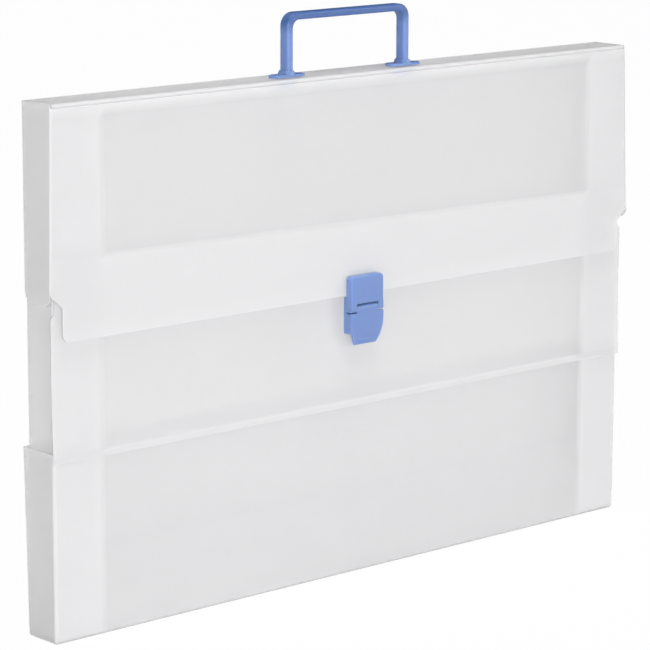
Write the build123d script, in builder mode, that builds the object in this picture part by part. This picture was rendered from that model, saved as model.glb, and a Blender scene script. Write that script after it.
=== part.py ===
from build123d import *
import os

# Plastic document case for drawings and large papers.
# Millimetres. The origin is on the ground under the middle of the tray, +Z is up, and the front is at -Y.

# Driving sizes
sheet = 1.0  # thickness of the frosted sheet
tray_width = 516.0
tray_front = -15.0  # outer face of the tray's front wall
tray_back = 14.6  # outer face of its back wall at the floor
tray_flare = 3.4  # how far the back wall leans out at its top
tray_height = 123.5
case_height = 344.0  # top of the closed lid
fold_radius = 2.2

# Back shell: back panel, side walls and the two front return flanges
shell_side_gap = 0.7
shell_width = tray_width - 2 * (sheet + shell_side_gap)
shell_front = tray_front + sheet
shell_back = 13.5
shell_bottom = 2.5
shell_rest_gap = 0.3  # between the shell's top edge and the lid
shell_top = case_height - sheet - shell_rest_gap
flange_inner = 219.5  # from the middle of the case to the flange's free edge
flange_top = 340.0
flange_corner = 8.0
shell_fold = 1.3
edge_reach = 0.1  # how near to a place an edge is looked for

# Middle panel
panel_half_width = 259.8
panel_bottom = 117.5
panel_top = 245.0
panel_step_end = 150.0  # here the panel is back in line with the tray's front
panel_lap_top = tray_height + 1.5
panel_notch = 213.5  # above this the panel is narrower, to let the lid's ears pass
panel_narrow = 255.8
panel_chamfer = 3.5

# Lid
lid_gap = 0.2
crease_front = -17.0
top_front = -15.0
top_half_width = 256.4
flap_front = -18.7  # the flap's front face at the clasp
flap_bottom = 195.0
ear_bottom = 218.0
ear_back = 12.3
ear_corner = 8.0
ear_back_low = 258.1  # how far out the ear's back edge is, at its bottom
ear_back_high = 258.0
fold_half_width = 258.2  # half the flap's width at the front crease
shoulder_half_width = 262.0
shoulder_height = 226.0
flap_half_width = 252.0
flap_corner = 5.0

# Handle
handle_y = -0.75
leg_x = 52.3
bail_thick = 5.0
bail_deep = 8.6
bail_edge = 1.5
bail_top = 386.0
bail_corner = 9.0
bail_web = 5.6  # radius of the web in the bail's inner corners
plate_length = 28.0
plate_width = 12.0
plate_thick = 1.5
plate_edge = 0.7
leg_clearance = 0.3
leg_slot_gap = 0.5  # round the leg in the lid
collar_height = 3.9  # from the lid's top
collar_wall = 0.55
collar_flare = 0.8  # how much wider the collar is at its foot, on each side
backing_thick = 1.4
foot_width = 10.0
foot_height = 4.4
foot_gap = 0.4

# Clasp
clasp_width = 29.0
base_bottom = 189.4
base_top = 208.2
base_corner = 3.0
base_edge = 1.0
pin_y = -22.0
pin_z = 186.1
pin_radius = 1.25
pin_fit = 0.04
knuckle_radius = 2.4
base_front = pin_y - knuckle_radius
knuckle_half = 9.5
arm_gap = 0.4
arm_corner = 1.4
tongue_thick = 2.2
tongue_bottom = 160.8
tongue_bottom_half = 9.3
tongue_shoulder = 182.9
tongue_straight = 10.0  # from the pin down to where the tongue starts to bend back
tongue_bend = 2.0  # how far back its tip is
tongue_side = 4.0  # straight part of its side, below the shoulder
catch_front = -21.6
catch_neck = -18.3
catch_top = 193.5
catch_step = 182.0
catch_bottom = 168.6
catch_half = 13.3
catch_edge = 1.0
hook_reach = 2.3
hook_half = 8.0
hook_gap = 0.6
hook_tip = 1.2
hook_root = 3.6
pin_inset = 0.3

# Studs that hold the moulded pieces on the sheet
stud_radius = 1.9
stud_fit = 0.05
stud_hole = 2.1
plate_stud_offset = 10.0
clasp_stud_offset = 7.0
clasp_plate_half = 12.0
clasp_plate_high = 10.0
clasp_plate_thick = 1.2
clasp_plate_corner = 2.0
clasp_stud_z = 202.0
catch_stud_z = 181.5

os.makedirs("parts", exist_ok=True)


# Tray: an open box whose back wall leans out
with BuildPart() as tray:
    with BuildSketch(Plane.YZ):
        with BuildLine():
            Polyline(
                (tray_front, 0),
                (tray_back, 0),
                (tray_back + tray_flare, tray_height),
                (tray_front, tray_height),
                close=True,
            )
        make_face()
    extrude(amount=tray_width / 2, both=True)
    tray_mouth = tray.faces().sort_by(Axis.Z)[-1]
    fillet(tray.edges() - tray_mouth.edges(), radius=fold_radius)
    offset(amount=-sheet, openings=tray.faces().sort_by(Axis.Z)[-1])


# Back shell: one sheet folded round the back, the ends and a strip of the front
with BuildPart() as back_shell:
    shell_middle = (shell_front + shell_back) / 2
    shell_depth = shell_back - shell_front
    with BuildSketch(Plane.XY.offset(shell_bottom)):
        with Locations((0, shell_middle)):
            RectangleRounded(shell_width, shell_depth, shell_fold)
            RectangleRounded(
                shell_width - 2 * sheet, shell_depth - 2 * sheet, shell_fold - sheet, mode=Mode.SUBTRACT
            )
        with Locations((0, shell_front)):
            Rectangle(2 * flange_inner, 3 * sheet, mode=Mode.SUBTRACT)
    extrude(amount=shell_top - shell_bottom)
    with BuildSketch(Plane.XY.offset(flange_top)):
        with Locations((0, shell_front)):
            Rectangle(shell_width - 2 * shell_fold, 3 * sheet)
    extrude(amount=case_height - flange_top, mode=Mode.SUBTRACT)
    flange_corners = back_shell.edges().filter_by(Axis.Y).filter_by_position(
        Axis.X, -flange_inner - edge_reach, flange_inner + edge_reach
    ).filter_by_position(Axis.Z, flange_top - edge_reach, flange_top + edge_reach)
    fillet(flange_corners, radius=flange_corner)


# Middle panel: stepped forward over the tray's top edge, where it is welded on
with BuildPart() as middle_panel:
    with BuildSketch(Plane.YZ):
        with BuildLine():
            Polyline(
                (tray_front - sheet, panel_bottom),
                (tray_front, panel_bottom),
                (tray_front, panel_lap_top),
                (tray_front + sheet, panel_step_end),
                (tray_front + sheet, panel_top),
                (tray_front, panel_top),
                (tray_front, panel_step_end),
                (tray_front - sheet, panel_lap_top),
                close=True,
            )
        make_face()
    extrude(amount=panel_half_width, both=True)
    with BuildSketch(Plane.XZ):
        with BuildLine():
            Polyline(
                (-panel_half_width, panel_bottom),
                (panel_half_width, panel_bottom),
                (panel_half_width, panel_notch - panel_chamfer),
                (panel_narrow, panel_notch),
                (panel_narrow, panel_top),
                (-panel_narrow, panel_top),
                (-panel_narrow, panel_notch),
                (-panel_half_width, panel_notch - panel_chamfer),
                close=True,
            )
        make_face()
    extrude(amount=2 * abs(tray_front), mode=Mode.INTERSECT)
    with Locations(Plane.XZ):
        with Locations((-clasp_stud_offset, catch_stud_z), (clasp_stud_offset, catch_stud_z)):
            Cylinder(stud_hole, 4 * abs(tray_front), mode=Mode.SUBTRACT)


# Top panel of the lid, with the slots for the handle's legs
with BuildPart() as top_panel:
    with BuildSketch(Plane.XY.offset(case_height - sheet)):
        with Locations((0, (top_front + lid_gap + shell_back) / 2)):
            Rectangle(2 * top_half_width, shell_back - top_front - lid_gap)
        with Locations((-leg_x, handle_y), (leg_x, handle_y)):
            slot = 2 * leg_slot_gap
            RectangleRounded(
                bail_thick + slot, bail_deep + slot, bail_edge + leg_slot_gap, mode=Mode.SUBTRACT
            )
            with Locations((-plate_stud_offset, 0), (plate_stud_offset, 0)):
                Circle(stud_hole, mode=Mode.SUBTRACT)
    extrude(amount=sheet)


# Side ear: hangs from the flap's edge and stands out more at its lower front corner
with BuildPart() as ear:
    with BuildSketch(Plane.XY.offset(ear_bottom)):
        with BuildLine():
            Polyline(
                (shoulder_half_width - sheet, flap_front),
                (shoulder_half_width, flap_front),
                (ear_back_low, ear_back),
                (ear_back_low - sheet, ear_back),
                close=True,
            )
        make_face()
    with BuildSketch(Plane.XY.offset(case_height)):
        with BuildLine():
            Polyline(
                (fold_half_width - sheet, crease_front),
                (fold_half_width, crease_front),
                (ear_back_high, ear_back),
                (ear_back_high - sheet, ear_back),
                close=True,
            )
        make_face()
    loft(ruled=True)
    with BuildSketch(Plane.YZ):
        with BuildLine():
            FilletPolyline(
                (flap_front, case_height),
                (flap_front, ear_bottom),
                (ear_back, ear_bottom),
                (ear_back, case_height),
                radius=ear_corner,
            )
            Line((ear_back, case_height), (flap_front, case_height))
        make_face()
    extrude(amount=2 * shoulder_half_width, both=True, mode=Mode.INTERSECT)


# Front flap: shoulders above, a narrower tongue-shaped lower part, and the two ears
with BuildPart() as front_flap:
    with BuildSketch(Plane.YZ):
        with BuildLine():
            Polyline(
                (top_front, case_height),
                (crease_front, case_height),
                (flap_front, ear_bottom),
                (flap_front, flap_bottom),
                (flap_front + sheet, flap_bottom),
                (flap_front + sheet, ear_bottom),
                (crease_front + sheet, case_height - sheet),
                (top_front, case_height - sheet),
                close=True,
            )
        make_face()
    extrude(amount=shoulder_half_width, both=True)
    fold_line = front_flap.edges().filter_by(Axis.X).sort_by_distance((0, crease_front, case_height))[0]
    fillet(fold_line, radius=sheet)
    with BuildSketch(Plane.XZ):
        with BuildLine():
            slope = (shoulder_half_width - fold_half_width) / (case_height - ear_bottom)
            shoulder_edge = fold_half_width + slope * (case_height - shoulder_height)
            right_side = Polyline(
                (0, case_height),
                (fold_half_width, case_height),
                (shoulder_edge, shoulder_height),
                (flap_half_width, ear_bottom - sheet),
                (flap_half_width, flap_bottom + flap_corner),
            )
            bottom_corner = TangentArc(
                right_side @ 1, (flap_half_width - flap_corner, flap_bottom), tangent=(0, -1)
            )
            Line(bottom_corner @ 1, (0, flap_bottom))
            Line((0, flap_bottom), (0, case_height))
        make_face()
        mirror(about=Plane.YZ)
    extrude(amount=2 * abs(flap_front), mode=Mode.INTERSECT)
    add(ear.part)
    add(ear.part.mirror(Plane.YZ))
    with Locations(Plane.XZ):
        with Locations((-clasp_stud_offset, clasp_stud_z), (clasp_stud_offset, clasp_stud_z)):
            Cylinder(stud_hole, 4 * abs(flap_front), mode=Mode.SUBTRACT)


# Handle: a bail of flat section with a web in each inner corner, and a wide foot on each leg in the case
with BuildPart() as handle:
    leg_end = case_height - sheet - backing_thick - foot_gap - foot_height
    outer_half = leg_x + bail_thick / 2
    inner_half = leg_x - bail_thick / 2
    bar_bottom = bail_top - bail_thick
    with BuildSketch(Plane.XZ.offset(-handle_y)):
        with BuildLine():
            outside = FilletPolyline(
                (-outer_half, leg_end),
                (-outer_half, bail_top),
                (outer_half, bail_top),
                (outer_half, leg_end),
                radius=bail_corner,
            )
            inside = FilletPolyline(
                (-inner_half, leg_end),
                (-inner_half, bar_bottom),
                (inner_half, bar_bottom),
                (inner_half, leg_end),
                radius=bail_web,
            )
            Line(outside @ 0, inside @ 0)
            Line(outside @ 1, inside @ 1)
        make_face()
    extrude(amount=bail_deep / 2, both=True)
    long_edges = handle.faces().filter_by(Axis.Y).edges() - handle.edges().group_by(Axis.Z)[0]
    fillet(long_edges, radius=bail_edge)
    with BuildSketch(Plane.XY.offset(leg_end)):
        with Locations((-leg_x, handle_y), (leg_x, handle_y)):
            RectangleRounded(foot_width, bail_deep, bail_edge)
    extrude(amount=foot_height)


def handle_plate(side):
    """Guide plate on top of the lid, with a collar round the leg and two studs below."""
    centre = (side * leg_x, handle_y)
    with BuildPart() as plate:
        with BuildSketch(Plane.XY.offset(case_height)):
            with Locations(centre):
                SlotOverall(plate_length, plate_width)
        extrude(amount=plate_thick)
        rim = plate.faces().sort_by(Axis.Z)[-1].edges()
        fillet(rim, radius=plate_edge)
        around = leg_clearance + collar_wall
        for height, flare in ((plate_thick / 2, collar_flare), (collar_height, 0)):
            with BuildSketch(Plane.XY.offset(case_height + height)):
                with Locations(centre):
                    grow = 2 * (around + flare)
                    RectangleRounded(bail_thick + grow, bail_deep + grow, bail_edge + around)
        loft()
        with BuildSketch(Plane.XY.offset(case_height)):
            with Locations(centre):
                slot = 2 * leg_clearance
                RectangleRounded(bail_thick + slot, bail_deep + slot, bail_edge + leg_clearance)
        extrude(amount=2 * collar_height, mode=Mode.SUBTRACT)
        with BuildSketch(Plane.XY.offset(case_height)):
            with Locations(centre):
                with Locations((-plate_stud_offset, 0), (plate_stud_offset, 0)):
                    Circle(stud_radius)
        extrude(amount=-(sheet + backing_thick))
    return plate.part


def handle_backing(side):
    """Plate under the lid that the guide plate's studs go into."""
    with BuildPart() as backing:
        with BuildSketch(Plane.XY.offset(case_height - sheet - backing_thick)):
            with Locations((side * leg_x, handle_y)):
                SlotOverall(plate_length, plate_width)
                slot = 2 * leg_clearance
                RectangleRounded(
                    bail_thick + slot, bail_deep + slot, bail_edge + leg_clearance, mode=Mode.SUBTRACT
                )
                with Locations((-plate_stud_offset, 0), (plate_stud_offset, 0)):
                    Circle(stud_radius + stud_fit, mode=Mode.SUBTRACT)
        extrude(amount=backing_thick)
    return backing.part


def stud_plate(outer_y, centre_z):
    """Small plate behind a moulded clasp piece, with the two holes for its studs."""
    with BuildPart() as plate:
        with BuildSketch(Plane.XZ.offset(-outer_y)):
            with Locations((0, centre_z)):
                RectangleRounded(2 * clasp_plate_half, clasp_plate_high, clasp_plate_corner)
                with Locations((-clasp_stud_offset, 0), (clasp_stud_offset, 0)):
                    Circle(stud_radius + stud_fit, mode=Mode.SUBTRACT)
        extrude(amount=-clasp_plate_thick)
    return plate.part


# Clasp base: the block on the flap, with an arm at each side of the tongue's knuckle
with BuildPart() as clasp_base:
    flap_inner = flap_front + sheet
    with BuildSketch(Plane.XZ.offset(-flap_front)):
        with Locations((0, (base_bottom + base_top) / 2)):
            Rectangle(clasp_width, base_top - base_bottom)
    extrude(amount=flap_front - base_front)
    top_corners = clasp_base.edges().filter_by(Axis.Y).group_by(Axis.Z)[-1]
    fillet(top_corners, radius=base_corner)
    front_rim = clasp_base.faces().sort_by(Axis.Y)[0].edges().sort_by(Axis.Z)[1:]
    fillet(front_rim, radius=base_edge)
    arm_width = clasp_width / 2 - knuckle_half - arm_gap
    arm_top = base_bottom + base_edge
    arm_bottom = pin_z - knuckle_radius
    for arm_start in (-clasp_width / 2, clasp_width / 2 - arm_width):
        with BuildSketch(Plane.YZ.offset(arm_start)):
            with Locations((pin_y, (arm_top + arm_bottom) / 2)):
                arm = Rectangle(2 * knuckle_radius, arm_top - arm_bottom)
            fillet(arm.vertices().group_by(Axis.Y)[0], radius=arm_corner)
            with Locations((pin_y, pin_z)):
                Circle(pin_radius + pin_fit, mode=Mode.SUBTRACT)
        extrude(amount=arm_width)
    with BuildSketch(Plane.XZ.offset(-flap_front)):
        with Locations((-clasp_stud_offset, clasp_stud_z), (clasp_stud_offset, clasp_stud_z)):
            Circle(stud_radius)
    extrude(amount=-(sheet + clasp_plate_thick))


# Clasp tongue: a plate that bends back towards its tip, with a knuckle above and a hook behind
with BuildPart() as clasp_tongue:
    plate_y = pin_y - knuckle_radius + tongue_thick / 2
    with BuildSketch(Plane.YZ):
        with BuildLine():
            tip = (plate_y + tongue_bend, tongue_bottom + tongue_thick / 2)
            straight = Line((plate_y, pin_z), (plate_y, pin_z - tongue_straight))
            TangentArc(straight @ 1, tip, tangent=(0, -1))
        trace(line_width=tongue_thick)
        with Locations(tip):
            Circle(tongue_thick / 2)
        with Locations((pin_y, pin_z)):
            Circle(knuckle_radius)
    extrude(amount=clasp_width / 2, both=True)
    with BuildSketch(Plane.XZ):
        with BuildLine():
            shoulder = Polyline(
                (0, pin_z + 2 * knuckle_radius),
                (knuckle_half, pin_z + 2 * knuckle_radius),
                (knuckle_half, tongue_shoulder),
                (clasp_width / 2, tongue_shoulder),
                (clasp_width / 2, tongue_shoulder - tongue_side),
            )
            taper = TangentArc(shoulder @ 1, (tongue_bottom_half, tongue_bottom), tangent=(0, -1))
            Line(taper @ 1, (0, tongue_bottom))
            Line((0, tongue_bottom), (0, pin_z + 2 * knuckle_radius))
        make_face()
        mirror(about=Plane.YZ)
    extrude(amount=2 * abs(base_front), mode=Mode.INTERSECT)
    with BuildSketch(Plane.YZ.offset(-hook_half)):
        with BuildLine():
            hook_top = catch_bottom - hook_gap
            Polyline(
                (plate_y, hook_top),
                (catch_front + hook_reach - tongue_thick / 4, hook_top),
                (catch_front + hook_reach - tongue_thick / 4, hook_top - hook_tip),
                (plate_y, hook_top - hook_root),
                close=True,
            )
        make_face()
    extrude(amount=2 * hook_half)
    with BuildSketch(Plane.YZ):
        with Locations((pin_y, pin_z)):
            Circle(pin_radius + pin_fit)
    extrude(amount=clasp_width, both=True, mode=Mode.SUBTRACT)


# Clasp pin
with BuildPart() as clasp_pin:
    with BuildSketch(Plane.YZ):
        with Locations((pin_y, pin_z)):
            Circle(pin_radius)
    extrude(amount=clasp_width / 2 - pin_inset, both=True)


# Clasp catch: the stepped block on the middle panel that the hook goes under
with BuildPart() as clasp_catch:
    with BuildSketch(Plane.YZ):
        with BuildLine():
            Polyline(
                (tray_front, catch_bottom),
                (tray_front, catch_top),
                (catch_neck, catch_top),
                (catch_neck, catch_step),
                (catch_front, catch_step),
                (catch_front, catch_bottom),
                close=True,
            )
        make_face()
    extrude(amount=catch_half, both=True)
    catch_face = clasp_catch.faces().sort_by(Axis.Y)[0]
    fillet(catch_face.edges().filter_by(Axis.Z), radius=catch_edge)
    with BuildSketch(Plane.XZ.offset(-tray_front)):
        with Locations((-clasp_stud_offset, catch_stud_z), (clasp_stud_offset, catch_stud_z)):
            Circle(stud_radius)
    extrude(amount=-(sheet + clasp_plate_thick))


pieces = {
    "tray": tray.part,
    "back_shell": back_shell.part,
    "middle_panel": middle_panel.part,
    "top_panel": top_panel.part,
    "front_flap": front_flap.part,
    "handle": handle.part,
    "handle_plate_left": handle_plate(-1),
    "handle_plate_right": handle_plate(1),
    "handle_backing_left": handle_backing(-1),
    "handle_backing_right": handle_backing(1),
    "clasp_base": clasp_base.part,
    "clasp_backing": stud_plate(flap_inner, clasp_stud_z),
    "clasp_tongue": clasp_tongue.part,
    "clasp_pin": clasp_pin.part,
    "clasp_catch": clasp_catch.part,
    "catch_backing": stud_plate(tray_front + sheet, catch_stud_z),
}
for label, piece in pieces.items():
    piece.label = label
    export_step(piece, f"parts/{label}.step")
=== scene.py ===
import math

import bmesh
import bpy
from mathutils import Matrix, Vector


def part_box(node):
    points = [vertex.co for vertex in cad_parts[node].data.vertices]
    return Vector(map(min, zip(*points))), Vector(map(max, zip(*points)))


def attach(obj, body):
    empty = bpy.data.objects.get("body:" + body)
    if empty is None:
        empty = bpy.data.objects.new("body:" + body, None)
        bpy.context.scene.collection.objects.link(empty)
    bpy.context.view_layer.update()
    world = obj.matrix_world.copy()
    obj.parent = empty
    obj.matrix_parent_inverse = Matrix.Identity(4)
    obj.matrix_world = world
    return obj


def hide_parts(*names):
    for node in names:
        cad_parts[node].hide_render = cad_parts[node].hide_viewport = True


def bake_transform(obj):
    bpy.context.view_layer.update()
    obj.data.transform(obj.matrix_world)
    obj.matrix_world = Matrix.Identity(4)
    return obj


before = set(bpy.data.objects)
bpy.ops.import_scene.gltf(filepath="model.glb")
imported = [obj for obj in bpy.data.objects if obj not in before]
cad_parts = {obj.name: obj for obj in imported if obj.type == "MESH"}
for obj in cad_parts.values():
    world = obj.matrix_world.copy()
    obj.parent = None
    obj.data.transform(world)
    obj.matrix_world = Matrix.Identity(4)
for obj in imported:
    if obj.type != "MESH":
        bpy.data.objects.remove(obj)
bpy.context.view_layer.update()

bl_info = {
    "name": "Plastic document case",
    "version": (1, 0, 0),
    "blender": (4, 5, 0),
    "location": "3D View > Sidebar > Document case",
    "description": "Builds a frosted document case with a bail handle and a clasp",
    "category": "Object",
}

MM = 0.001

# Heights and edges of the case, read from the frame
TRAY_LOW, TRAY_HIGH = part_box("tray")
SHELL_LOW, SHELL_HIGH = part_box("back_shell")
PANEL_LOW, PANEL_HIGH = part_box("middle_panel")
TOP_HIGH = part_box("top_panel")[1]
FLAP_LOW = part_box("front_flap")[0]

# Attribute of the sheets that says how much whiter and more opaque than elsewhere the sheet is drawn:
# painted light in most places, and along the folds partly the crease's real whitening and partly a painted
# highlight
WHITENING_AND_PAINTED_LIGHT = "sheet_whitening_and_painted_light"

FLANGE_INNER = 219.5 * MM  # from the middle of the case to the free edge of the shell's flanges
SOFT_EDGE = 3 * MM  # how far a change of density takes
PANEL_SKEW = 0.013  # how much the middle panel's top edge rises towards the left, as a slope
FRONT_CREASE_Y = -17.0 * MM  # outer face of the flap at the front crease
CREASE_FLAT = 1.5 * MM  # flat part on each side of a crease's bend
FLAP_BEND = 218 * MM  # below this height the flap is upright
EAR_BACK_Y = 12.3 * MM  # back edge of the ears
NEAR = 0.1 * MM  # how close to a face or a height counts as on it


# Settings


class SheetSettings(bpy.types.PropertyGroup):
    """Sizes and look of the frosted sheet"""

    colour: bpy.props.FloatVectorProperty(
        name="Sheet colour", description="Colour of the frosted sheet", subtype="COLOR", size=3,
        default=(0.88, 0.876, 0.885), min=0, max=1,
    )
    # Whiter colour of the sheet where it is fully marked: painted light, and along the folds partly real
    # whitening
    whitening_and_painted_light_colour: bpy.props.FloatVectorProperty(
        name="Dense colour", description="Colour of the sheet where its density is 1", subtype="COLOR",
        size=3, default=(0.97, 0.97, 0.98), min=0, max=1,
    )
    # The cut edges are drawn whiter as painted light
    edge_colour: bpy.props.FloatVectorProperty(
        name="Edge colour", description="Colour of the sheet's cut edges", subtype="COLOR", size=3,
        default=(0.95, 0.95, 0.955), min=0, max=1,
    )
    opacity: bpy.props.FloatProperty(
        name="Opacity", description="How much one face of the sheet hides", subtype="FACTOR",
        default=0.305, min=0, max=1,
    )
    # Higher opacity where the sheet is fully marked: painted light, and along the folds partly real
    # whitening
    whitening_and_painted_light_opacity: bpy.props.FloatProperty(
        name="Dense opacity", description="How much one face hides where its density is 1",
        subtype="FACTOR", default=0.95, min=0, max=1,
    )
    # Whitening along the folds: partly the crease's real whitening, partly a painted highlight
    fold_whitening_and_painted_highlight: bpy.props.FloatProperty(
        name="Density of folds", description="How much denser the sheet is along its folds",
        subtype="FACTOR", default=0.3, min=0, max=1,
    )
    # Painted light on the shell's flanges and on the tray in front of them, whiter and more opaque there
    flange_painted_light: bpy.props.FloatProperty(
        name="Density of welds",
        description="How much denser the shell's flanges and the tray in front of them are",
        subtype="FACTOR", default=0.28, min=0, max=1,
    )
    # Painted light in front of the shell's flanges, on the ears and at the foot of the tray's front
    lap_painted_light: bpy.props.FloatProperty(
        name="Density of laps",
        description="How much denser the middle panel and the flap are in front of the shell's flanges",
        subtype="FACTOR", default=0.19, min=0, max=1,
    )
    # Painted light along the seam of the middle panel and the tray, and a painted pale band along the
    # tray's mouth
    seam_painted_light: bpy.props.FloatProperty(
        name="Density of the seam",
        description="How much denser the middle panel and the tray are where they are welded together",
        subtype="FACTOR", default=0.16, min=0, max=1,
    )
    # Painted light where the flap lies over the middle panel
    overlap_painted_light: bpy.props.FloatProperty(
        name="Density of the overlap",
        description="How much denser the flap and the middle panel are where the flap lies over the panel",
        subtype="FACTOR", default=0.22, min=0, max=1,
    )
    thickness: bpy.props.FloatProperty(
        name="Thickness", description="Thickness of the sheet", unit="LENGTH", default=1.0 * MM,
    )
    tray_fold: bpy.props.FloatProperty(
        name="Tray fold", description="Outer radius of the tray's folds", unit="LENGTH", default=2.2 * MM,
    )
    shell_fold: bpy.props.FloatProperty(
        name="Shell fold", description="Outer radius of the back shell's folds", unit="LENGTH",
        default=1.3 * MM,
    )
    crease_radius: bpy.props.FloatProperty(
        name="Crease radius", description="Outer radius of the lid's two creases", unit="LENGTH",
        default=1.25 * MM,
    )
    air: bpy.props.FloatProperty(
        name="Air gap", description="Air between two sheets that lie together", unit="LENGTH",
        default=0.1 * MM,
    )


class FittingSettings(bpy.types.PropertyGroup):
    """Colours of the moulded pieces"""

    handle_colour: bpy.props.FloatVectorProperty(
        name="Handle colour", description="Colour of the handle's bar", subtype="COLOR", size=3,
        default=(0.072, 0.15, 0.37), min=0, max=1,
    )
    # Painted light: the legs and plates are drawn paler than the bar
    leg_painted_light_colour: bpy.props.FloatVectorProperty(
        name="Leg colour", description="Paler colour of the handle's legs and plates", subtype="COLOR",
        size=3, default=(0.185, 0.29, 0.60), min=0, max=1,
    )
    clasp_colour: bpy.props.FloatVectorProperty(
        name="Clasp colour", description="Colour of the clasp", subtype="COLOR", size=3,
        default=(0.185, 0.285, 0.575), min=0, max=1,
    )


class StudioSettings(bpy.types.PropertyGroup):
    """Camera and light"""

    lens: bpy.props.FloatProperty(
        name="Lens", description="Focal length of the camera in millimetres", default=168.57,
    )
    eye: bpy.props.FloatVectorProperty(
        name="Camera place", description="Where the camera stands", subtype="TRANSLATION", size=3,
        default=(-1.3682, -1.4972, 0.5824),
    )
    azimuth: bpy.props.FloatProperty(
        name="Azimuth", description="How far the camera stands round to the left", subtype="ANGLE",
        default=math.radians(42.07),
    )
    elevation: bpy.props.FloatProperty(
        name="Elevation", description="How far the camera looks down", subtype="ANGLE",
        default=math.radians(11.49),
    )
    roll: bpy.props.FloatProperty(
        name="Roll", description="How far the camera leans", subtype="ANGLE", default=math.radians(0.2),
    )
    front_power: bpy.props.FloatProperty(
        name="Front lamp", description="Power of the wide soft lamp in front of the case", unit="POWER",
        default=167,
    )
    right_power: bpy.props.FloatProperty(
        name="Right lamp", description="Power of the soft lamp on the right", unit="POWER", default=60,
    )
    left_power: bpy.props.FloatProperty(
        name="Left lamp", description="Power of the soft lamp on the left", unit="POWER", default=90,
    )
    top_power: bpy.props.FloatProperty(
        name="Top lamp", description="Power of the soft lamp above the case", unit="POWER", default=155,
    )
    back_power: bpy.props.FloatProperty(
        name="Back lamp", description="Power of the soft lamp behind the case", unit="POWER", default=35,
    )
    ambient: bpy.props.FloatProperty(
        name="Ambient light", description="Strength of the light from all round", default=0.1, min=0,
    )
    lamp_size: bpy.props.FloatProperty(
        name="Lamp size", description="Width of each soft lamp", unit="LENGTH", default=2.4,
    )
    floor_colour: bpy.props.FloatVectorProperty(
        name="Floor colour", description="Colour of the floor", subtype="COLOR", size=3,
        default=(0.93, 0.93, 0.93), min=0, max=1,
    )
    floor_whiteness: bpy.props.FloatProperty(
        name="Floor whiteness", description="How far the floor looks plain white to the camera",
        subtype="FACTOR", default=0.975, min=0, max=1,
    )


# Meshes of sheet


def face_outward(bm, direction):
    """Turns all faces so that the outermost one in a direction looks that way."""
    direction = Vector(direction)
    bmesh.ops.recalc_face_normals(bm, faces=bm.faces)
    outermost = max(bm.faces, key=lambda face: face.calc_center_median().dot(direction))
    if outermost.normal.dot(direction) < 0:
        bmesh.ops.reverse_faces(bm, faces=bm.faces)


def whitening_and_painted_light_layer(bm):
    """The mesh's values of whitening and painted light, one per vertex."""
    return bm.verts.layers.float.get(WHITENING_AND_PAINTED_LIGHT) or bm.verts.layers.float.new(WHITENING_AND_PAINTED_LIGHT)


def round_folds(bm, edges, radius, settings, segments=5):
    """Rounds the folds of a sheet and whitens their middle: partly the crease's real whitening, partly a
    painted highlight.
    """
    mark = whitening_and_painted_light_layer(bm)
    made = bmesh.ops.bevel(
        bm, geom=edges, offset=radius, offset_type="OFFSET", affect="EDGES", segments=segments,
        profile=0.5, material=-1,
    )
    folded = set(made["faces"])
    for vertex in made["verts"]:
        if all(face in folded for face in vertex.link_faces):
            vertex[mark] = settings.fold_whitening_and_painted_highlight


def round_corners(bm, corners, radius, segments=6):
    """Rounds corners in the outline of a sheet."""
    bmesh.ops.bevel(
        bm, geom=corners, offset=radius, offset_type="OFFSET", affect="VERTICES", segments=segments,
        profile=0.5, material=-1,
    )


def cut(bm, point, normal):
    """Cuts all faces along a plane and keeps both halves."""
    geometry = bm.verts[:] + bm.edges[:] + bm.faces[:]
    bmesh.ops.bisect_plane(bm, geom=geometry, dist=1e-7, plane_co=point, plane_no=normal)


def paint_light_on_laps(bm, density, is_front):
    """Paints light on a front sheet in front of the shell's flanges, whiter and more opaque there, fading
    towards the middle.
    """
    for side in (-1, 1):
        for reach in (-SOFT_EDGE, SOFT_EDGE):
            cut(bm, (side * (FLANGE_INNER + reach), 0, 0), (1, 0, 0))
    mark = whitening_and_painted_light_layer(bm)
    for vertex in bm.verts:
        if is_front(vertex.co) and abs(vertex.co.x) > FLANGE_INNER + SOFT_EDGE / 2:
            vertex[mark] = max(vertex[mark], density)


def corners_near(bm, places, reach=0.5 * MM):
    """The vertices that lie at the given places."""
    return [v for v in bm.verts if any((v.co - Vector(p)).length < reach for p in places)]


def polygon(bm, points):
    """One face through the given points."""
    return bm.faces.new([bm.verts.new(point) for point in points])


def new_object(name, bm):
    """A finished mesh as an object at the origin."""
    mesh = bpy.data.meshes.new(name)
    bm.normal_update()
    bm.to_mesh(mesh)
    bm.free()
    mesh.polygons.foreach_set("use_smooth", [True] * len(mesh.polygons))
    piece = bpy.data.objects.new(name, mesh)
    bpy.context.scene.collection.objects.link(piece)
    return piece


def sheet_piece(name, bm, settings):
    """Gives a surface the thickness of the sheet, on its inner side, with a whiter cut edge that has a
    painted glow.
    """
    whitening_and_painted_light_layer(bm)
    piece = new_object(name, bm)
    piece.data.materials.append(frosted_sheet(settings))
    piece.data.materials.append(cut_edge(settings))
    wall = piece.modifiers.new("wall", "SOLIDIFY")
    wall.thickness = settings.thickness
    wall.offset = -1
    wall.use_even_offset = True
    wall.material_offset_rim = 1
    level = piece.modifiers.new("level", "WEIGHTED_NORMAL")
    level.keep_sharp = True
    return piece


# Shared effects


def socket(group, name, direction, kind, default=None):
    """One named input or output of a node group."""
    made = group.interface.new_socket(name=name, in_out=direction, socket_type=kind)
    if default is not None:
        made.default_value = default
    return made


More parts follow.
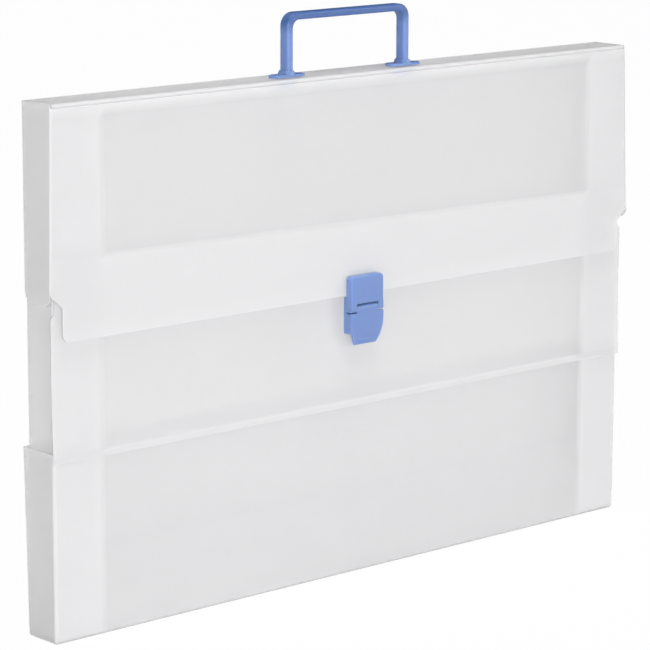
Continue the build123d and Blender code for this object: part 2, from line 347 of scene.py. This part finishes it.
def moulded_grain():
    """Fine uneven grain of plastic: a height for bump and an uneven roughness."""
    group = bpy.data.node_groups.get("moulded grain")
    if group:
        return group
    group = bpy.data.node_groups.new("moulded grain", "ShaderNodeTree")
    socket(group, "Scale", "INPUT", "NodeSocketFloat", 900.0)
    socket(group, "Roughness", "INPUT", "NodeSocketFloat", 0.5)
    socket(group, "Unevenness", "INPUT", "NodeSocketFloat", 0.08)
    socket(group, "Height", "OUTPUT", "NodeSocketFloat")
    socket(group, "Roughness", "OUTPUT", "NodeSocketFloat")
    nodes, links = group.nodes, group.links
    start = nodes.new("NodeGroupInput")
    end = nodes.new("NodeGroupOutput")
    place = nodes.new("ShaderNodeTexCoord")
    fine = nodes.new("ShaderNodeTexNoise")
    fine.inputs["Detail"].default_value = 4
    broad = nodes.new("ShaderNodeTexNoise")
    broad.inputs["Scale"].default_value = 14
    broad.inputs["Detail"].default_value = 3
    shift = nodes.new("ShaderNodeMath")
    shift.operation = "SUBTRACT"
    shift.inputs[1].default_value = 0.5
    amount = nodes.new("ShaderNodeMath")
    amount.operation = "MULTIPLY_ADD"
    links.new(place.outputs["Object"], fine.inputs["Vector"])
    links.new(place.outputs["Object"], broad.inputs["Vector"])
    links.new(start.outputs["Scale"], fine.inputs["Scale"])
    links.new(broad.outputs["Fac"], shift.inputs[0])
    links.new(shift.outputs[0], amount.inputs[0])
    links.new(start.outputs["Unevenness"], amount.inputs[1])
    links.new(start.outputs["Roughness"], amount.inputs[2])
    links.new(fine.outputs["Fac"], end.inputs["Height"])
    links.new(amount.outputs[0], end.inputs["Roughness"])
    return group


def plastic(name, colour, roughness, grain_scale, grain_depth, unevenness):
    """A plastic with the shared grain, and its shader for later steps."""
    material = bpy.data.materials.new(name)
    material.use_nodes = True
    nodes, links = material.node_tree.nodes, material.node_tree.links
    shader = nodes["Principled BSDF"]
    shader.inputs["Base Color"].default_value = (*colour, 1)
    shader.inputs["IOR"].default_value = 1.49
    grain = nodes.new("ShaderNodeGroup")
    grain.node_tree = moulded_grain()
    grain.inputs["Scale"].default_value = grain_scale
    grain.inputs["Roughness"].default_value = roughness
    grain.inputs["Unevenness"].default_value = unevenness
    bump = nodes.new("ShaderNodeBump")
    bump.inputs["Distance"].default_value = grain_depth
    links.new(grain.outputs["Height"], bump.inputs["Height"])
    links.new(grain.outputs["Roughness"], shader.inputs["Roughness"])
    links.new(bump.outputs["Normal"], shader.inputs["Normal"])
    return material, shader


def frosted_sheet(settings):
    """See-through sheet with a fine frosting, whiter and more opaque by its attribute of whitening and
    painted light.
    """
    material = bpy.data.materials.get("frosted sheet")
    if material:
        return material
    material, shader = plastic(
        "frosted sheet", settings.colour, roughness=0.48, grain_scale=1400, grain_depth=0.03 * MM,
        unevenness=0.12,
    )
    nodes, links = material.node_tree.nodes, material.node_tree.links
    # The attribute mixes in the whiter colour and higher opacity: painted light, and the folds' whitening
    whitening_and_painted_light_amount = nodes.new("ShaderNodeAttribute")
    whitening_and_painted_light_amount.attribute_name = WHITENING_AND_PAINTED_LIGHT
    tint = nodes.new("ShaderNodeMix")
    tint.data_type = "RGBA"
    tint.inputs["A"].default_value = (*settings.colour, 1)
    tint.inputs["B"].default_value = (*settings.whitening_and_painted_light_colour, 1)
    links.new(whitening_and_painted_light_amount.outputs["Fac"], tint.inputs["Factor"])
    links.new(tint.outputs["Result"], shader.inputs["Base Color"])
    hiding = nodes.new("ShaderNodeMapRange")
    hiding.inputs["To Min"].default_value = settings.opacity
    hiding.inputs["To Max"].default_value = settings.whitening_and_painted_light_opacity
    links.new(whitening_and_painted_light_amount.outputs["Fac"], hiding.inputs["Value"])
    links.new(hiding.outputs["Result"], shader.inputs["Alpha"])
    return material


def cut_edge(settings):
    """The sheet's cut edge, whiter and with a painted glow from a weak white emission."""
    material = bpy.data.materials.get("cut edge")
    if material:
        return material
    material, shader = plastic(
        "cut edge", settings.edge_colour, roughness=0.4, grain_scale=2200, grain_depth=0.02 * MM,
        unevenness=0.1,
    )
    shader.inputs["Alpha"].default_value = 0.4
    # Painted glow: the edge gives off a little light though it is no lamp
    shader.inputs["Emission Color"].default_value = (1, 1, 1, 1)
    shader.inputs["Emission Strength"].default_value = 0.1
    return material


def moulded_plastic(name, colour):
    """Moulded plastic with a soft sheen."""
    material = bpy.data.materials.get(name)
    if material:
        return material
    material, shader = plastic(
        name, colour, roughness=0.3, grain_scale=1100, grain_depth=0.01 * MM, unevenness=0.1,
    )
    shader.inputs["Subsurface Weight"].default_value = 0.7
    shader.inputs["Subsurface Radius"].default_value = (0.5, 0.7, 1.0)
    shader.inputs["Subsurface Scale"].default_value = 5 * MM
    return material


def paint_light_below(material, height, colour, painted_light_colour, softness=4 * MM):
    """Paints light on a plastic: paler below a height."""
    nodes, links = material.node_tree.nodes, material.node_tree.links
    place = nodes.new("ShaderNodeTexCoord")
    axes = nodes.new("ShaderNodeSeparateXYZ")
    rise = nodes.new("ShaderNodeMapRange")
    rise.inputs["From Min"].default_value = height - softness
    rise.inputs["From Max"].default_value = height + softness
    tint = nodes.new("ShaderNodeMix")
    tint.data_type = "RGBA"
    tint.inputs["A"].default_value = (*painted_light_colour, 1)
    tint.inputs["B"].default_value = (*colour, 1)
    links.new(place.outputs["Object"], axes.inputs[0])
    links.new(axes.outputs["Z"], rise.inputs["Value"])
    links.new(rise.outputs["Result"], tint.inputs["Factor"])
    links.new(tint.outputs["Result"], nodes["Principled BSDF"].inputs["Base Color"])


def finish_nodes(names, material):
    """Gives CAD nodes whose shape stays a better material."""
    for name in names:
        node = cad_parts[name]
        node.data.materials.clear()
        node.data.materials.append(material)


# Operators


class DOCUMENTCASE_OT_tray(bpy.types.Operator):
    """Builds the folded lower box"""

    bl_idname = "document_case.tray"
    bl_label = "Tray"

    def execute(self, context):
        settings = context.scene.case_sheet
        low, high = TRAY_LOW, TRAY_HIGH
        floor_back = 14.6 * MM  # the back wall leans out from the floor's edge to the mouth
        painted_light_foot = 60 * MM  # painted light on the front, most at the floor and fading up to this height
        bm = bmesh.new()
        bmesh.ops.create_cube(bm, size=1)
        bmesh.ops.scale(bm, vec=high - low, verts=bm.verts)
        bmesh.ops.translate(bm, vec=(high + low) / 2, verts=bm.verts)
        floor_edge = [v for v in bm.verts if v.co.y > 0 and v.co.z < MM]
        bmesh.ops.translate(bm, vec=(0, floor_back - high.y, 0), verts=floor_edge)
        mouth = [face for face in bm.faces if face.normal.z > 0.9]
        bmesh.ops.delete(bm, geom=mouth, context="FACES_ONLY")
        folds = [edge for edge in bm.edges if len(edge.link_faces) == 2]
        round_folds(bm, folds, settings.tray_fold, settings)
        # Painted light in front of the shell's flanges
        paint_light_on_laps(bm, settings.flange_painted_light, lambda place: place.y < low.y + NEAR)
        for height in (painted_light_foot, high.z - SOFT_EDGE):
            cut(bm, (0, 0, height), (0, 0, 1))
        mark = whitening_and_painted_light_layer(bm)
        # Painted light along the mouth and at the foot of the front
        for vertex in bm.verts:
            if vertex.co.z > high.z - NEAR:
                vertex[mark] = settings.seam_painted_light
            elif vertex.co.y < low.y + NEAR and vertex.co.z < settings.tray_fold + MM:
                vertex[mark] = max(vertex[mark], settings.lap_painted_light)
        face_outward(bm, (0, -1, 0))
        piece = sheet_piece("tray_sheet", bm, settings)
        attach(piece, "case")
        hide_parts("tray")
        return {"FINISHED"}


class DOCUMENTCASE_OT_back_shell(bpy.types.Operator):
    """Builds the back with both side walls and the two front return flanges"""

    bl_idname = "document_case.back_shell"
    bl_label = "Back shell"

    def execute(self, context):
        settings = context.scene.case_sheet
        low, high = SHELL_LOW.copy(), SHELL_HIGH.copy()
        low.y += settings.air
        high.z = TOP_HIGH.z - settings.crease_radius - CREASE_FLAT
        flange_top, corner_radius = 340 * MM, 8 * MM
        bm = bmesh.new()
        bmesh.ops.create_cube(bm, size=1)
        bmesh.ops.scale(bm, vec=high - low, verts=bm.verts)
        bmesh.ops.translate(bm, vec=(high + low) / 2, verts=bm.verts)
        open_sides = [face for face in bm.faces if abs(face.normal.z) > 0.9 or face.normal.y < -0.9]
        bmesh.ops.delete(bm, geom=open_sides, context="FACES")
        front_edges = [
            edge for edge in bm.edges
            if len(edge.link_faces) == 1 and all(v.co.y < 0 for v in edge.verts)
        ]
        for edge in front_edges:
            side = math.copysign(1, edge.verts[0].co.x)
            made = bmesh.ops.extrude_edge_only(bm, edges=[edge])
            grown = [item for item in made["geom"] if isinstance(item, bmesh.types.BMVert)]
            bmesh.ops.translate(bm, vec=(side * (FLANGE_INNER - high.x), 0, 0), verts=grown)
        folds = [
            edge for edge in bm.edges
            if len(edge.link_faces) == 2 and abs((edge.verts[0].co - edge.verts[1].co).z) > MM
        ]
        round_folds(bm, folds, settings.shell_fold, settings)
        cut(bm, (0, 0, flange_top), (0, 0, 1))
        above = [
            face for face in bm.faces
            if face.calc_center_median().z > flange_top
            and face.calc_center_median().y < low.y + NEAR
            and abs(face.calc_center_median().x) < high.x - settings.shell_fold
        ]
        bmesh.ops.delete(bm, geom=above, context="FACES")
        places = [(side * FLANGE_INNER, low.y, flange_top) for side in (-1, 1)]
        round_corners(bm, corners_near(bm, places), corner_radius)
        for side in (-1, 1):
            cut(bm, (side * (FLANGE_INNER + 2 * SOFT_EDGE), 0, 0), (1, 0, 0))
        # Painted light on the flanges
        mark = whitening_and_painted_light_layer(bm)
        for vertex in bm.verts:
            if vertex.co.y < low.y + NEAR and abs(vertex.co.x) > FLANGE_INNER + 1.5 * SOFT_EDGE:
                vertex[mark] = settings.flange_painted_light
        face_outward(bm, (0, 1, 0))
        piece = sheet_piece("back_shell_sheet", bm, settings)
        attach(piece, "case")
        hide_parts("back_shell")
        return {"FINISHED"}


class DOCUMENTCASE_OT_middle_panel(bpy.types.Operator):
    """Builds the panel between the tray and the lid, stepped over the tray's edge"""

    bl_idname = "document_case.middle_panel"
    bl_label = "Middle panel"

    def execute(self, context):
        settings = context.scene.case_sheet
        low, high = PANEL_LOW, PANEL_HIGH
        # The panel is narrower behind the flap, where it goes between the ears
        half, notch_half = 258.6 * MM, 255.8 * MM
        notch_low, notch_high = 210 * MM, 213.5 * MM
        # It lies in front of the tray's edge and bends back above it
        step_low, step_high, bend = 125 * MM, 150 * MM, 4 * MM
        right = [(half, low.z), (half, notch_low), (notch_half, notch_high), (notch_half, high.z)]
        outline = right + [(-x, z) for x, z in reversed(right)]
        bm = bmesh.new()
        polygon(bm, [(x, low.y, z) for x, z in outline])
        for height in (step_low, step_high):
            cut(bm, (0, 0, height), (0, 0, 1))
        for vertex in bm.verts:
            if vertex.co.z > step_high - NEAR:
                vertex.co.y = low.y + settings.thickness - settings.air
        bends = [
            edge for edge in bm.edges
            if len(edge.link_faces) == 2 and abs(edge.verts[0].co.z - edge.verts[1].co.z) < NEAR
        ]
        bmesh.ops.bevel(
            bm, geom=bends, offset=bend, offset_type="OFFSET", affect="EDGES", segments=4,
            profile=0.5, material=-1,
        )
        bmesh.ops.translate(bm, vec=(0, -settings.air / 2, 0), verts=bm.verts)
        # Painted light in front of the flanges, along the seam with the tray and under the flap
        lap_low = FLAP_LOW.z
        for height in (lap_low, lap_low + SOFT_EDGE):
            cut(bm, (0, 0, height), (0, 0, 1))
        paint_light_on_laps(bm, settings.lap_painted_light, lambda place: True)
        mark = whitening_and_painted_light_layer(bm)
        for vertex in bm.verts:
            if vertex.co.z < step_low - bend + MM / 2:
                vertex[mark] = settings.seam_painted_light
            elif vertex.co.z > lap_low + MM and abs(vertex.co.x) < FLANGE_INNER:
                vertex[mark] = settings.overlap_painted_light
            if vertex.co.z > high.z - MM:
                vertex.co.z -= PANEL_SKEW * vertex.co.x
        face_outward(bm, (0, -1, 0))
        piece = sheet_piece("middle_panel_sheet", bm, settings)
        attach(piece, "case")
        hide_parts("middle_panel")
        return {"FINISHED"}


class DOCUMENTCASE_OT_top_panel(bpy.types.Operator):
    """Builds the lid's top, with the slots for the handle's legs"""

    bl_idname = "document_case.top_panel"
    bl_label = "Top panel"

    def execute(self, context):
        settings = context.scene.case_sheet
        front, back = crease_lines(settings)
        leg_x, leg_y = 52.3 * MM, -0.75 * MM
        slot_half_x, slot_half_y = 3.0 * MM, 4.8 * MM
        bm = bmesh.new()
        bmesh.ops.create_grid(bm, x_segments=1, y_segments=1, size=1)
        bmesh.ops.scale(bm, vec=(TOP_HIGH.x, (back - front) / 2, 1), verts=bm.verts)
        bmesh.ops.translate(bm, vec=(0, (back + front) / 2, TOP_HIGH.z), verts=bm.verts)
        for side in (-1, 1):
            for edge in (-slot_half_x, slot_half_x):
                cut(bm, (side * leg_x + edge, 0, 0), (1, 0, 0))
        for edge in (-slot_half_y, slot_half_y):
            cut(bm, (0, leg_y + edge, 0), (0, 1, 0))
        slots = [
            face for face in bm.faces
            if abs(abs(face.calc_center_median().x) - leg_x) < slot_half_x
            and abs(face.calc_center_median().y - leg_y) < slot_half_y
        ]
        bmesh.ops.delete(bm, geom=slots, context="FACES")
        face_outward(bm, (0, 0, 1))
        piece = sheet_piece("top_panel_sheet", bm, settings)
        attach(piece, "lid")
        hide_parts("top_panel")
        return {"FINISHED"}


def flap_front(height):
    """Where the flap's front face is at a height: it leans out towards the clasp."""
    clasp_y = -18.7 * MM
    share = min(1, (TOP_HIGH.z - height) / (TOP_HIGH.z - FLAP_BEND))
    return FRONT_CREASE_Y + share * (clasp_y - FRONT_CREASE_Y)


def flap_half_width(height):
    """Half the flap's width at a height above the shoulder."""
    at_crease, growth = 258.2 * MM, 3.8 / 126
    return at_crease + growth * (TOP_HIGH.z - height)


def ear_side(y, height):
    """How far out the ear is: most at its lower front corner, least along its back."""
    back_side = 258.0 * MM
    share = (y - flap_front(height)) / (EAR_BACK_Y - flap_front(height))
    return flap_half_width(height) * (1 - share) + back_side * share


class DOCUMENTCASE_OT_front_flap(bpy.types.Operator):
    """Builds the front flap with its shoulders and the two side ears"""

    bl_idname = "document_case.front_flap"
    bl_label = "Front flap"

    def execute(self, context):
        settings = context.scene.case_sheet
        top = TOP_HIGH.z - settings.crease_radius - CREASE_FLAT
        shoulder, waist, bottom = 226 * MM, 217 * MM, FLAP_LOW.z
        lower_half, corner_radius = 252 * MM, 5 * MM
        ear_corner, ear_fold, ear_rows = 7.9 * MM, 1.3 * MM, (260 * MM, 300 * MM)
        lap_top, crease_low = PANEL_HIGH.z, 334 * MM
        right = [
            (flap_half_width(top), top), (flap_half_width(shoulder), shoulder), (lower_half, waist),
            (lower_half, bottom),
        ]
        outline = right + [(-x, z) for x, z in reversed(right)]
        bm = bmesh.new()
        polygon(bm, [(x, flap_front(z), z) for x, z in outline])
        lower_corners = [(side * lower_half, flap_front(bottom), bottom) for side in (-1, 1)]
        round_corners(bm, corners_near(bm, lower_corners), corner_radius)
        crest, crest_start = TOP_HIGH.z, flap_front(TOP_HIGH.z) + 1.6 * MM
        bend_front = flap_front(FLAP_BEND)
        ear = [
            (flap_front(top), top), (flap_front(shoulder), shoulder), (bend_front, FLAP_BEND),
            (EAR_BACK_Y, FLAP_BEND), (EAR_BACK_Y, crest), (crest_start, crest),
        ]
        for side in (-1, 1):
            polygon(bm, [(side * ear_side(y, z), y, z) for y, z in ear])
            ends = [(side * ear_side(y, FLAP_BEND), y, FLAP_BEND) for y in (bend_front, EAR_BACK_Y)]
            round_corners(bm, corners_near(bm, ends), ear_corner)
        bmesh.ops.remove_doubles(bm, verts=bm.verts, dist=0.15 * MM)
        for height in (FLAP_BEND, shoulder, *ear_rows):
            cut(bm, (0, 0, height), (0, 0, 1))
        cut(bm, (0, 0, 0), (0, 1, 0))
        for vertex in bm.verts:
            x, y, z = vertex.co
            if z < top + NEAR and y < flap_front(z) + MM:
                vertex.co.y = flap_front(z)
            else:
                vertex.co.x = math.copysign(ear_side(y, z), x)
        face_outward(bm, (0, -1, 0))
        folds = [
            edge for edge in bm.edges
            if len(edge.link_faces) == 2 and edge.calc_face_angle() > math.radians(45)
        ]
        round_folds(bm, folds, ear_fold, settings)
        for height in (crease_low, crease_low + 2 * SOFT_EDGE):
            cut(bm, (0, 0, height), (0, 0, 1))
        for height in (lap_top - SOFT_EDGE, lap_top + MM):
            cut(bm, (0, 0, height), (PANEL_SKEW, 0, 1))
        # The ears get a little painted light, the band at the crease is whitened (partly real whitening,
        # partly a painted highlight), and the flap has painted light over the panel and in front of the
        # flanges
        mark = whitening_and_painted_light_layer(bm)
        for vertex in bm.verts:
            if vertex.co.y > flap_front(vertex.co.z) + NEAR:
                vertex[mark] = max(vertex[mark], settings.lap_painted_light / 2)
            elif vertex.co.z > crease_low + SOFT_EDGE:
                vertex[mark] = settings.fold_whitening_and_painted_highlight
            elif vertex.co.z + PANEL_SKEW * vertex.co.x < lap_top:
                vertex[mark] = settings.overlap_painted_light
        paint_light_on_laps(bm, settings.lap_painted_light, lambda place: place.y < flap_front(place.z) + NEAR)
        piece = sheet_piece("front_flap_sheet", bm, settings)
        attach(piece, "flap")
        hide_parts("front_flap")
        return {"FINISHED"}


def crease_lines(settings):
    """Where the top panel ends at the front and at the back crease."""
    reach = settings.crease_radius + CREASE_FLAT
    return FRONT_CREASE_Y + reach, TOP_HIGH.y - reach


def crease_strip(name, settings, outer_y, side, half_width, bodies):
    """A bent strip of the sheet that joins two panels."""
    top = TOP_HIGH.z
    radius = settings.crease_radius
    bm = bmesh.new()
    mark = whitening_and_painted_light_layer(bm)
    start = bm.verts.new((-half_width, outer_y - side * radius, top))
    centre = (-half_width, outer_y - side * radius, top - radius)
    bmesh.ops.spin(
        bm, geom=[start], cent=centre, axis=(1, 0, 0), angle=-side * math.pi / 2, steps=6,
        dvec=(0, 0, 0), space=Matrix.Identity(4), use_duplicate=False,
    )
    # The bend is whitened: partly the crease's real whitening, partly a painted highlight
    arc = bm.verts[:]
    for vertex in arc:
        vertex[mark] = settings.fold_whitening_and_painted_highlight
    ends = [v for v in arc if len(v.link_edges) == 1]
    for end in ends:
        flat = end.co.z > top - NEAR
        step = (0, -side * CREASE_FLAT, 0) if flat else (0, 0, -CREASE_FLAT)
        grown = bm.verts.new(end.co + Vector(step))
        bm.edges.new((end, grown))
    made = bmesh.ops.extrude_edge_only(bm, edges=bm.edges[:])
    moved = [item for item in made["geom"] if isinstance(item, bmesh.types.BMVert)]
    bmesh.ops.translate(bm, vec=(2 * half_width, 0, 0), verts=moved)
    face_outward(bm, (0, 0, 1))
    piece = sheet_piece(name, bm, settings)
    bend_reach = radius + 0.3 * MM
    on_top = Vector((0, outer_y - side * bend_reach, top))
    on_wall = Vector((0, outer_y, top - bend_reach))
    start, end = (on_top, on_wall) if bodies[0] == "lid" else (on_wall, on_top)
    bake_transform(piece)


class DOCUMENTCASE_OT_creases(bpy.types.Operator):
    """Builds the two creases that the lid and the flap turn on"""

    bl_idname = "document_case.creases"
    bl_label = "Creases"

    def execute(self, context):
        settings = context.scene.case_sheet
        front_half, back_half = 257.0 * MM, 255.6 * MM
        crease_strip("front_crease", settings, FRONT_CREASE_Y, -1, front_half, ("lid", "flap"))
        crease_strip("back_crease", settings, TOP_HIGH.y, 1, back_half, ("case", "lid"))
        return {"FINISHED"}


class DOCUMENTCASE_OT_handle(bpy.types.Operator):
    """Finishes the bail handle, its plates and the plates below the lid"""

    bl_idname = "document_case.handle"
    bl_label = "Handle"

    def execute(self, context):
        fittings = context.scene.case_fittings
        blue = moulded_plastic("handle plastic", fittings.handle_colour)
        leg_top = 376 * MM
        # Painted light: below this height the legs and plates are paler than the bar
        paint_light_below(blue, leg_top, fittings.handle_colour, fittings.leg_painted_light_colour)
        finish_nodes(["handle", "handle_plate_left", "handle_plate_right"], blue)
        # The plates below the lid take the cut edge's material, with its painted glow
        finish_nodes(["handle_backing_left", "handle_backing_right"], cut_edge(context.scene.case_sheet))
        return {"FINISHED"}


class DOCUMENTCASE_OT_clasp(bpy.types.Operator):
    """Finishes the clasp"""

    bl_idname = "document_case.clasp"
    bl_label = "Clasp"

    def execute(self, context):
        fittings = context.scene.case_fittings
        blue = moulded_plastic("clasp plastic", fittings.clasp_colour)
        finish_nodes(["clasp_base", "clasp_tongue", "clasp_pin", "clasp_catch"], blue)
        # The backing plates take the cut edge's material, with its painted glow
        finish_nodes(["clasp_backing", "catch_backing"], cut_edge(context.scene.case_sheet))
        return {"FINISHED"}


def seen_directly(nodes, links):
    """1 where the camera looks at a surface with no see-through sheet in front of it."""
    paths = nodes.new("ShaderNodeLightPath")
    bare = nodes.new("ShaderNodeMath")
    bare.operation = "LESS_THAN"
    bare.inputs[1].default_value = 0.5
    direct = nodes.new("ShaderNodeMath")
    direct.operation = "MULTIPLY"
    links.new(paths.outputs["Transparent Depth"], bare.inputs[0])
    links.new(bare.outputs[0], direct.inputs[0])
    links.new(paths.outputs["Is Camera Ray"], direct.inputs[1])
    return direct.outputs[0]


def white_world(ambient):
    """Even light from all round, with a white background."""
    world = bpy.data.worlds.new("studio")
    bpy.context.scene.world = world
    world.use_nodes = True
    nodes, links = world.node_tree.nodes, world.node_tree.links
    seen = nodes.new("ShaderNodeMix")
    seen.inputs["A"].default_value = ambient
    seen.inputs["B"].default_value = 1.0
    links.new(seen_directly(nodes, links), seen.inputs["Factor"])
    links.new(seen.outputs["Result"], nodes["Background"].inputs["Strength"])
    nodes["Background"].inputs["Color"].default_value = (1, 1, 1, 1)


def white_floor(colour, whiteness):
    """Pale floor that is nearly white to the camera and keeps a part of the shadow."""
    bm = bmesh.new()
    bmesh.ops.create_grid(bm, x_segments=1, y_segments=1, size=6)
    floor = new_object("floor", bm)
    material = bpy.data.materials.new("floor")
    material.use_nodes = True
    nodes, links = material.node_tree.nodes, material.node_tree.links
    shader = nodes["Principled BSDF"]
    shader.inputs["Base Color"].default_value = (*colour, 1)
    shader.inputs["Roughness"].default_value = 0.8
    glow = nodes.new("ShaderNodeEmission")
    share = nodes.new("ShaderNodeMath")
    share.operation = "MULTIPLY"
    share.inputs[1].default_value = whiteness
    blend = nodes.new("ShaderNodeMixShader")
    links.new(seen_directly(nodes, links), share.inputs[0])
    links.new(share.outputs[0], blend.inputs[0])
    links.new(shader.outputs[0], blend.inputs[1])
    links.new(glow.outputs[0], blend.inputs[2])
    links.new(blend.outputs[0], nodes["Material Output"].inputs["Surface"])
    floor.data.materials.append(material)


def soft_lamp(name, size, azimuth, elevation, distance, power, colour=(1, 1, 1)):
    """A large soft lamp that points at the case, placed by its angles in degrees to the left and up."""
    aim_height = 0.18
    lamp = bpy.data.lights.new(name, "AREA")
    lamp.size = size
    lamp.energy = power
    lamp.color = colour
    holder = bpy.data.objects.new(name, lamp)
    bpy.context.scene.collection.objects.link(holder)
    turn = (
        Matrix.Rotation(math.radians(-azimuth), 4, "Z")
        @ Matrix.Rotation(math.radians(90 - elevation), 4, "X")
    )
    middle = Matrix.Translation((0, 0, aim_height))
    holder.matrix_world = middle @ turn @ Matrix.Translation((0, 0, distance))


class DOCUMENTCASE_OT_studio(bpy.types.Operator):
    """Sets up the floor, the light and the camera"""

    bl_idname = "document_case.studio"
    bl_label = "Studio"

    def execute(self, context):
        studio = context.scene.case_studio
        white_world(studio.ambient)
        white_floor(studio.floor_colour, studio.floor_whiteness)
        size, cool, warm = studio.lamp_size, (0.985, 0.985, 1), (1, 0.99, 0.965)
        soft_lamp("front lamp", size, 28, 10, 6, studio.front_power, colour=cool)
        soft_lamp("left lamp", size, 80, 10, 6, studio.left_power, colour=warm)
        soft_lamp("right lamp", size, -45, 10, 6, studio.right_power)
        soft_lamp("top lamp", size, 20, 75, 5, studio.top_power)
        soft_lamp("back lamp", size, 190, 25, 6, studio.back_power)
        data = bpy.data.cameras.new("camera")
        data.lens = studio.lens
        data.sensor_width = 36
        data.clip_end = 50
        camera = bpy.data.objects.new("camera", data)
        context.scene.collection.objects.link(camera)
        turn = (
            Matrix.Rotation(-studio.azimuth, 4, "Z")
            @ Matrix.Rotation(math.pi / 2 - studio.elevation, 4, "X")
            @ Matrix.Rotation(studio.roll, 4, "Z")
        )
        camera.matrix_world = Matrix.Translation(studio.eye) @ turn
        context.scene.camera = camera
        context.scene.view_settings.view_transform = "Standard"
        context.scene.cycles.transparent_max_bounces = 32
        return {"FINISHED"}


STEPS = (
    DOCUMENTCASE_OT_tray,
    DOCUMENTCASE_OT_back_shell,
    DOCUMENTCASE_OT_middle_panel,
    DOCUMENTCASE_OT_top_panel,
    DOCUMENTCASE_OT_front_flap,
    DOCUMENTCASE_OT_creases,
    DOCUMENTCASE_OT_handle,
    DOCUMENTCASE_OT_clasp,
    DOCUMENTCASE_OT_studio,
)


class DOCUMENTCASE_PT_panel(bpy.types.Panel):
    """Lists the case's settings and building steps"""

    bl_idname = "DOCUMENTCASE_PT_panel"
    bl_label = "Document case"
    bl_space_type = "VIEW_3D"
    bl_region_type = "UI"
    bl_category = "Document case"

    def draw(self, context):
        for group in ("case_sheet", "case_fittings", "case_studio"):
            settings = getattr(context.scene, group)
            box = self.layout.box()
            for name in settings.__annotations__:
                box.prop(settings, name)
        for step in STEPS:
            self.layout.operator(step.bl_idname)


CLASSES = (SheetSettings, FittingSettings, StudioSettings, *STEPS, DOCUMENTCASE_PT_panel)


def register():
    """Adds the classes and the settings of the scene."""
    for cls in CLASSES:
        bpy.utils.register_class(cls)
    bpy.types.Scene.case_sheet = bpy.props.PointerProperty(type=SheetSettings)
    bpy.types.Scene.case_fittings = bpy.props.PointerProperty(type=FittingSettings)
    bpy.types.Scene.case_studio = bpy.props.PointerProperty(type=StudioSettings)


def unregister():
    """Takes the settings and the classes away again."""
    del bpy.types.Scene.case_studio
    del bpy.types.Scene.case_fittings
    del bpy.types.Scene.case_sheet
    for cls in reversed(CLASSES):
        bpy.utils.unregister_class(cls)


def main():
    """Builds the case and its studio."""
    register()
    for step in STEPS:
        group, name = step.bl_idname.split(".")
        getattr(getattr(bpy.ops, group), name)()


if __name__ == "__main__":
    main()
